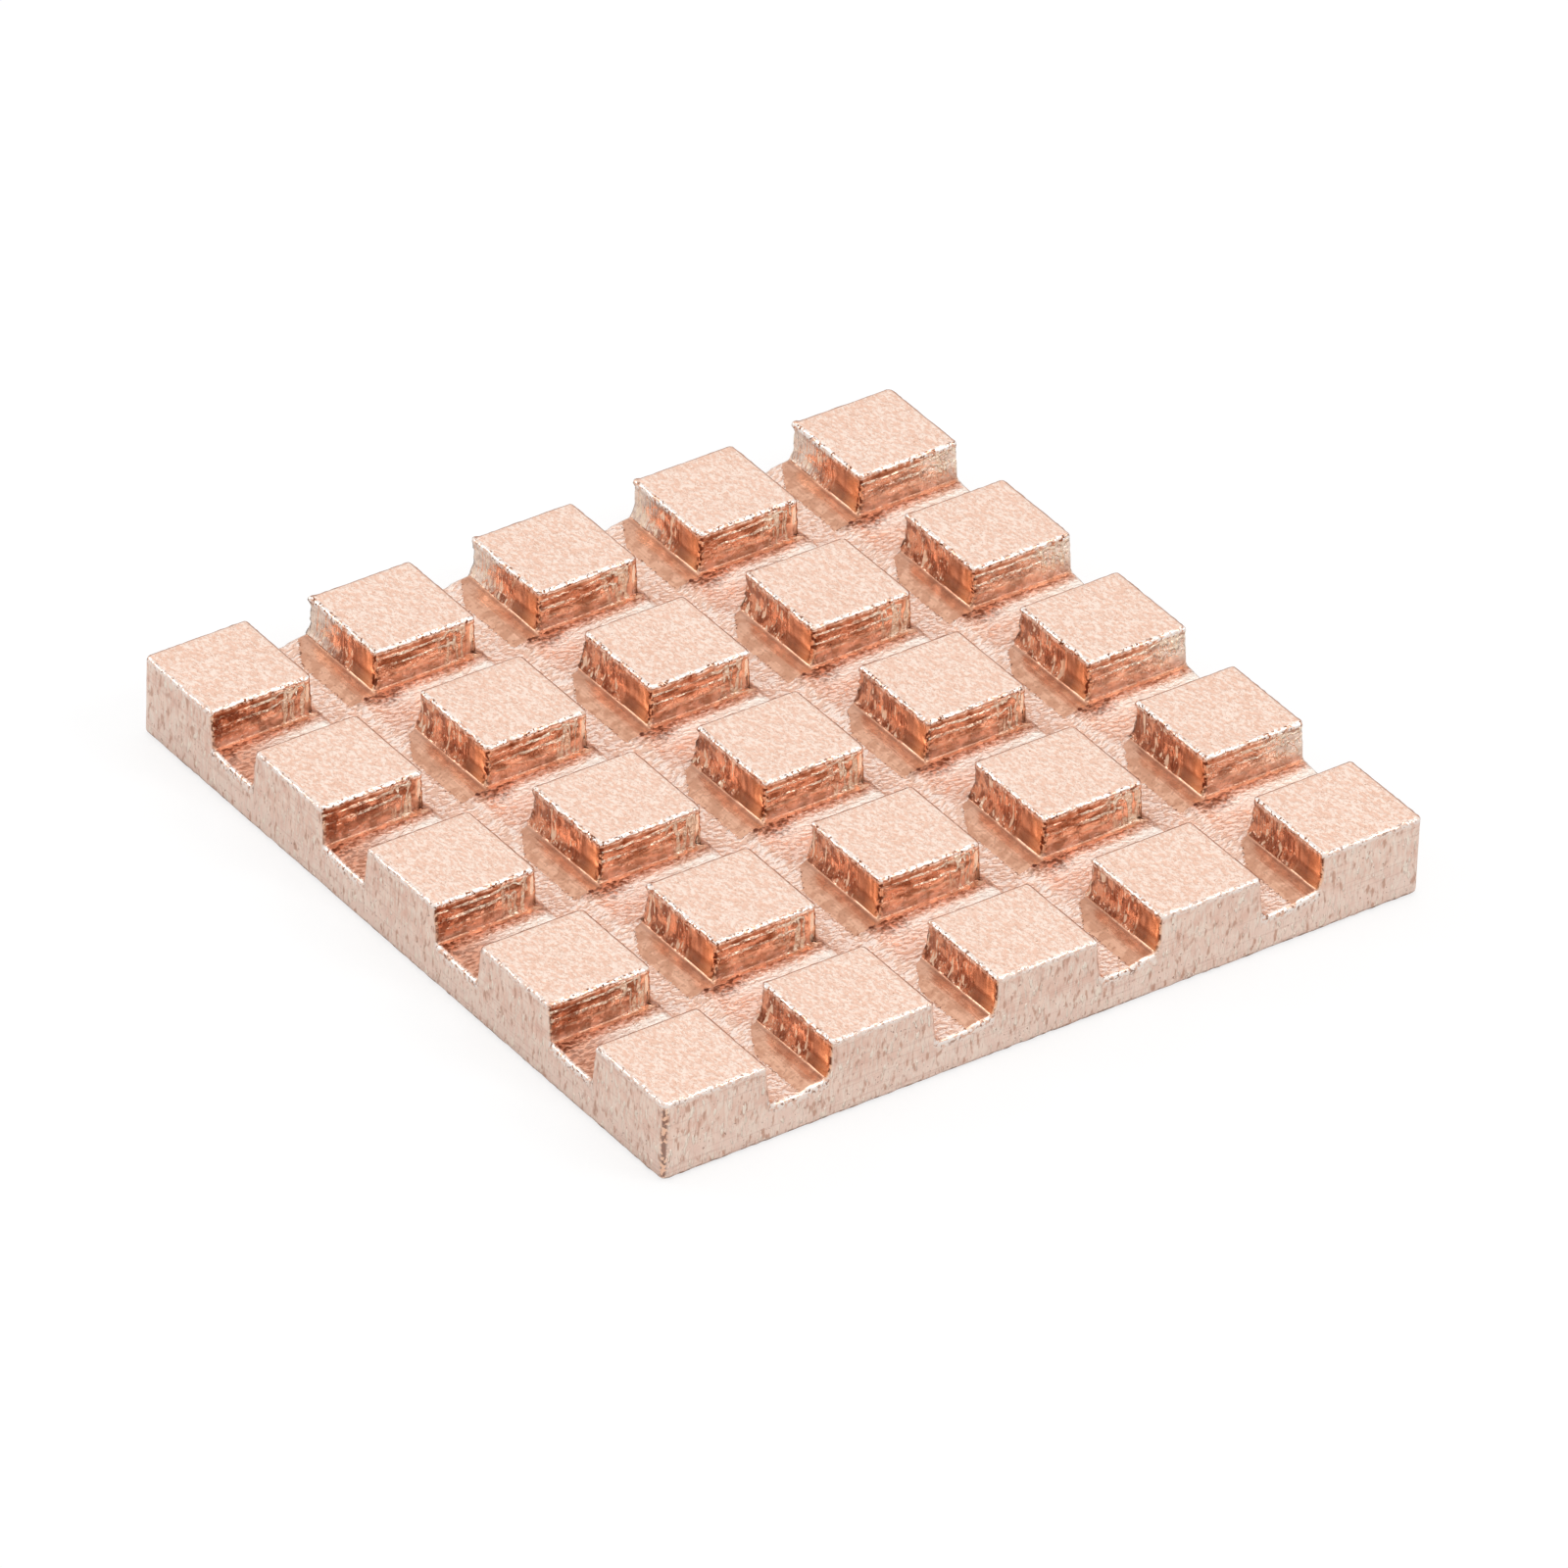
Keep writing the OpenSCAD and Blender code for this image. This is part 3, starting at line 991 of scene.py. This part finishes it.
def lip_highlight_colour(m, pat):
    # A painted highlight round the rolled edges, broken by dots of painted shade.
    calm = m.speckle((3.2, 3.2, 3.2), 0.5, 0.62, 1)
    return m.layers(m.colour(pat.beads, *LIP_HIGHLIGHT_BEADS),
                    (pat.dots, LIP_SHADE_DOT),
                    (m.times(calm, 0.45), LIP_SOFT_HIGHLIGHT))


def wall_colour(m, pat):
    mottle = m.layers(m.colour(pat.blots, *MOTTLE), (m.times(pat.pulls, 0.25), MOTTLE_PULL))
    clean = m.layers(m.colour(m.band(m.zone("far_along"), 0.1, 0.4), CLEAN_FRONT, CLEAN_BACK),
                     (m.times(pat.pulls, 0.2), CLEAN_PULL))
    smear = m.speckle((3, 3, 8), 0.42, 0.6, 3)
    ledged = m.layers(m.colour(smear, *LEDGED_SMEAR), (m.zone("right_ends"), RIGHT_END))
    return m.layers(m.colour(m.zone("mottled"), clean, mottle),
                    (m.zone("ledged"), ledged),
                    (m.times(m.zone("inlets"), pat.blots, 0.8), INLET),
                    # painted light where the slots open out
                    (m.times(m.zone("open_end_light"), m.mix(smear, 0.95, 0.6)), OPEN_END_LIGHT),
                    # painted shade just below the lips
                    (m.times(m.zone("under"), 0.8), SHADE_BELOW_LIP),
                    (m.times(m.zone("feet"), 0.75), m.colour(pat.blots, *FOOT_BLOTS)))


def wall_reflection_colour(m, pat):
    # A painted reflection of the -X wall in the floor beside it, with saw tracks, blots and dots.
    return m.layers(m.colour(pat.tracks, *REFLECTION_TRACKS),
                    (m.times(m.zone("tails"), 0.6), REFLECTION_TAIL),
                    (m.times(pat.blots, 0.55), REFLECTION_BLOT),
                    (m.times(pat.dots, 0.35), REFLECTION_DOT))


def floor_layers(m, pat, on, floors):
    """The slot floors, from the plain metal up, each with its share."""
    squiggles = m.veins((6, 8, 6), 0.022)
    floor = m.layers(m.colour(pat.scales, *FLOOR_SCALES),
                     (m.times(squiggles, 0.55), FLOOR_SQUIGGLE),
                     # painted light on the open middle of the floors
                     (m.times(on.clear, 0.75), FLOOR_PAINTED_LIGHT))
    return ((floors, floor),
            (on.fringe, m.colour(m.most(pat.dots, pat.specks), floor, REFLECTION_FRINGE)),
            (m.times(m.zone("mouths"), 0.8), m.colour(pat.scales, *MOUTH_SCALES)),
            # painted shade and reflection below the -Y walls
            (on.haze, m.colour(pat.scales, *HAZE_AND_SHADE_SCALES)),
            # painted shade in the nooks
            (m.times(on.nook, 0.9), m.colour(pat.scales, *NOOK_SHADE_SCALES)),
            # the painted reflection of the -X walls
            (on.strip, wall_reflection_colour(m, pat)),
            # painted shade in the crease
            (m.times(on.crease, 0.5), CREASE_SHADE),
            (on.spot, SPOT))


def outer_colour(m, pat):
    clouds = m.speckle((4, 4, 3), 0.35, 0.65, 2)
    scars = m.speckle((12, 12, 4.5), 0.57, 0.68, 2, (0.4, 0.3, 0))
    scratches = m.speckle((0.6, 0.6, 22), 0.6, 0.66, 1, (0.05, -0.04, 0))
    pits = m.speckle((19, 19, 19), 0.71, 0.77, 1)
    return m.layers(m.colour(clouds, *OUTER_CLOUDS),
                    # painted reflection of the floor, paler towards the bottom
                    (m.times(m.zone("low"), 0.6), OUTER_LOW_REFLECTION),
                    (m.times(pat.strokes, 0.5), OUTER_STROKE),
                    (m.times(scars, 0.85), OUTER_SCAR),
                    (m.times(scratches, 0.3), OUTER_SCRATCH),
                    (pat.dashes, OUTER_DASH),
                    (pits, OUTER_PIT))


def edge_layers(m, pat):
    """Lips, rims, corners and other edge marks, each with its share. The lips and rims carry a
    painted highlight.
    """
    lip = lip_highlight_colour(m, pat)
    knots = m.speckle((14, 14, 14), 0.47, 0.53, 1)
    hem = m.speckle((9, 9, 9), 0.5, 0.56, 1)
    return ((m.zone("lips"), lip),
            # the rims get the same painted highlight, a little weaker
            (m.times(m.zone("rims"), 0.85), lip),
            # painted shade along the back top edges
            (m.zone("backs"), LIP_BEHIND_SHADE),
            # painted shade down the front ends of the +X walls
            (m.zone("ends"), WALL_END_SHADE),
            (m.times(m.zone("hems"), hem), HEM),
            # dark knots and a painted highlight on the front left corners
            (m.times(m.zone("corners"), 1.6), m.colour(knots, *CORNER_KNOTS_AND_HIGHLIGHT)),
            (m.times(m.zone("torn"), m.most(pat.blots, pat.dots)), TORN))


def painted_highlight_share(m, lines):
    """Painted highlights on the walls: bright ledge lines, a line down the -Y walls' right ends,
    and glints.
    """
    mottled = m.zone("mottled")
    glints = m.times(m.speckle((9, 9, 2.6), 0.61, 0.66, 1), mottled)
    sparks = m.times(m.speckle((19, 19, 12), 0.66, 0.7, 1), mottled)
    return m.most(lines, m.band(m.zone("right_highlight_lines"), 0.3, 0.6), m.most(glints, sparks))


def relief(m, pat, on, tops, floors, outers, ledges):
    """The height of each surface's fine marks."""
    feet = m.times(m.sum(pat.blots, pat.beads), m.zone("feet"), 1.2)
    return m.sum(m.times(pat.grain, tops),
                 m.times(pat.scales, m.math("SUBTRACT", floors, on.strip), 1.6),
                 m.times(m.sum(m.times(pat.dashes, 2.6), pat.strokes), outers),
                 m.times(m.sum(pat.blots, pat.pulls), m.zone("mottled"), 1.4),
                 m.times(pat.tracks, on.strip, 0.2),
                 ledges,
                 feet)


def copper():
    m = Material("copper")
    pat = shared_patterns(m)
    tops, outers = m.zone("tops"), m.zone("outers")
    walls, floors = (m.band(m.zone(n), 0.0, 0.3) for n in ("walls", "floors"))
    on = floor_masks(m, floors, pat.ragged)
    lines, ledges = ledge_marks(m, pat)
    painted_highlight = painted_highlight_share(m, lines)

    colour = m.layers(PLAIN,
                      (tops, top_colour(m, pat)),
                      (walls, wall_colour(m, pat)),
                      *floor_layers(m, pat, on, floors),
                      (outers, outer_colour(m, pat)),
                      *edge_layers(m, pat),
                      # painted highlights on the walls
                      (painted_highlight, PAINTED_HIGHLIGHT))
    m.put(colour, m.shader.inputs["Base Color"])

    # Less metallic where a highlight is painted, so that it shows bright.
    metal = m.mix(painted_highlight, m.mix(on.strip, 1.0, METAL_STRIP), METAL_PAINTED_HIGHLIGHT)
    m.put(metal, m.shader.inputs["Metallic"])

    rough = ROUGH_EDGE
    for share, here in ((tops, ROUGH_TOP), (walls, ROUGH_WALL), (floors, ROUGH_FLOOR),
                        (m.zone("feet"), ROUGH_FOOT), (on.haze, ROUGH_HAZE),
                        (on.clear, ROUGH_HAZE), (on.strip, ROUGH_STRIP), (outers, ROUGH_OUTER)):
        rough = m.mix(share, rough, here)
    m.put(rough, m.shader.inputs["Roughness"])

    height = relief(m, pat, on, tops, floors, outers, ledges)
    m.put(m.bump(height), m.shader.inputs["Normal"])
    return m.data


# ---- Camera, light and floor ----
AZIMUTH, ELEVATION, ROLL = math.radians(-36.286), math.radians(34.634), math.radians(2.251)
CAMERA_DISTANCE = 296.8 * MM
AIM = Vector((0, 0, 0.817)) * MM
AIM_RIGHT, AIM_DOWN = 0.0734 * MM, 0.2266 * MM
LENS, SENSOR = 416.7, 36
WORLD_LIGHT, WORLD_SEEN = 0.75, 0.9     # on dull surfaces; to the camera and in the metal
PAPER, PAPER_SEEN, PAPER_GLOW = 0.8, 0.3, 0.72      # its albedo; albedo and glow to the camera
FLOOR_HALF, FLOOR_GAP = 0.6, 0.00002

LIGHTS = (("left", (-0.228, 0.265, 0.196), 0.14, 0.14),     # where, how wide, how strong
          ("right", (0.195, -0.227, 0.265), 0.14, 0.2),
          ("above", (0.05, 0.02, 0.45), 0.3, 0.3))


def make_camera():
    ca, sa, ce, se = (f(a) for a in (AZIMUTH, ELEVATION) for f in (math.cos, math.sin))
    ahead = Vector((-sa * ce, ca * ce, -se))
    right = Vector((ca, sa, 0))
    up = right.cross(ahead)
    cos, sin = math.cos(ROLL), math.sin(ROLL)
    right, up = cos * right + sin * up, cos * up - sin * right
    data = bpy.data.cameras.new("camera")
    data.lens = LENS
    data.sensor_width = SENSOR
    data.clip_start = 0.01
    camera = bpy.data.objects.new("camera", data)
    place = AIM + right * AIM_RIGHT - up * AIM_DOWN - ahead * CAMERA_DISTANCE
    turn = Matrix((right, up, -ahead)).transposed().to_4x4()
    camera.matrix_world = Matrix.Translation(place) @ turn
    bpy.context.scene.collection.objects.link(camera)
    bpy.context.scene.camera = camera


def make_world():
    """White all round: brighter to the camera and in the metal than as light."""
    world = bpy.data.worlds.new("studio")
    world.use_nodes = True
    bpy.context.scene.world = world
    tree = world.node_tree
    link = tree.links.new
    back = tree.nodes["Background"]
    path = node(tree, "ShaderNodeLightPath")
    seen = node(tree, "ShaderNodeMath", operation="MAXIMUM")
    link(path.outputs["Is Camera Ray"], seen.inputs[0])
    link(path.outputs["Is Glossy Ray"], seen.inputs[1])
    strength = node(tree, "ShaderNodeMapRange")
    link(seen.outputs[0], strength.inputs["Value"])
    strength.inputs["To Min"].default_value = WORLD_LIGHT
    strength.inputs["To Max"].default_value = WORLD_SEEN
    back.inputs["Color"].default_value = (1, 1, 1, 1)
    link(strength.outputs[0], back.inputs["Strength"])


def make_light(name, place, width, power):
    data = bpy.data.lights.new(name, "AREA")
    data.shape = "SQUARE"
    data.size = width
    data.energy = power
    light = bpy.data.objects.new(name, data)
    light.location = place
    light.rotation_euler = (-Vector(place)).to_track_quat("-Z", "Y").to_euler()
    bpy.context.scene.collection.objects.link(light)


def make_paper():
    """White to the camera except where the object's shadow falls."""
    mat = bpy.data.materials.new("paper")
    mat.use_nodes = True
    tree = mat.node_tree
    link = tree.links.new
    tree.nodes.remove(tree.nodes["Principled BSDF"])
    diffuse = node(tree, "ShaderNodeBsdfDiffuse")
    glow = node(tree, "ShaderNodeEmission")
    both = node(tree, "ShaderNodeAddShader")
    path = node(tree, "ShaderNodeLightPath")
    albedo = node(tree, "ShaderNodeMapRange")
    link(path.outputs["Is Camera Ray"], albedo.inputs["Value"])
    albedo.inputs["To Min"].default_value = PAPER
    albedo.inputs["To Max"].default_value = PAPER_SEEN
    link(albedo.outputs[0], diffuse.inputs["Color"])
    shine = node(tree, "ShaderNodeMath", operation="MULTIPLY")
    link(path.outputs["Is Camera Ray"], shine.inputs[0])
    shine.inputs[1].default_value = PAPER_GLOW
    link(shine.outputs[0], glow.inputs["Strength"])
    link(diffuse.outputs[0], both.inputs[0])
    link(glow.outputs[0], both.inputs[1])
    link(both.outputs[0], tree.nodes["Material Output"].inputs["Surface"])
    return mat


def make_floor():
    mesh = bpy.data.meshes.new("floor")
    square = [(FLOOR_HALF * x, FLOOR_HALF * y, 0) for x, y in ((-1, -1), (1, -1), (1, 1), (-1, 1))]
    mesh.from_pydata(square, [], [(0, 1, 2, 3)])
    mesh.materials.append(make_paper())
    floor = bpy.data.objects.new("floor", mesh)
    floor.location.z = -FLOOR_GAP
    bpy.context.scene.collection.objects.link(floor)


piece = build_heat_sink()
piece.data.materials.append(copper())
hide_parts(NODE)
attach(piece, "root" if "root" in frame["bodies"] else list(frame["bodies"])[0])
make_camera()
make_world()
for light in LIGHTS:
    make_light(*light)
make_floor()
bpy.context.scene.view_settings.view_transform = "Standard"
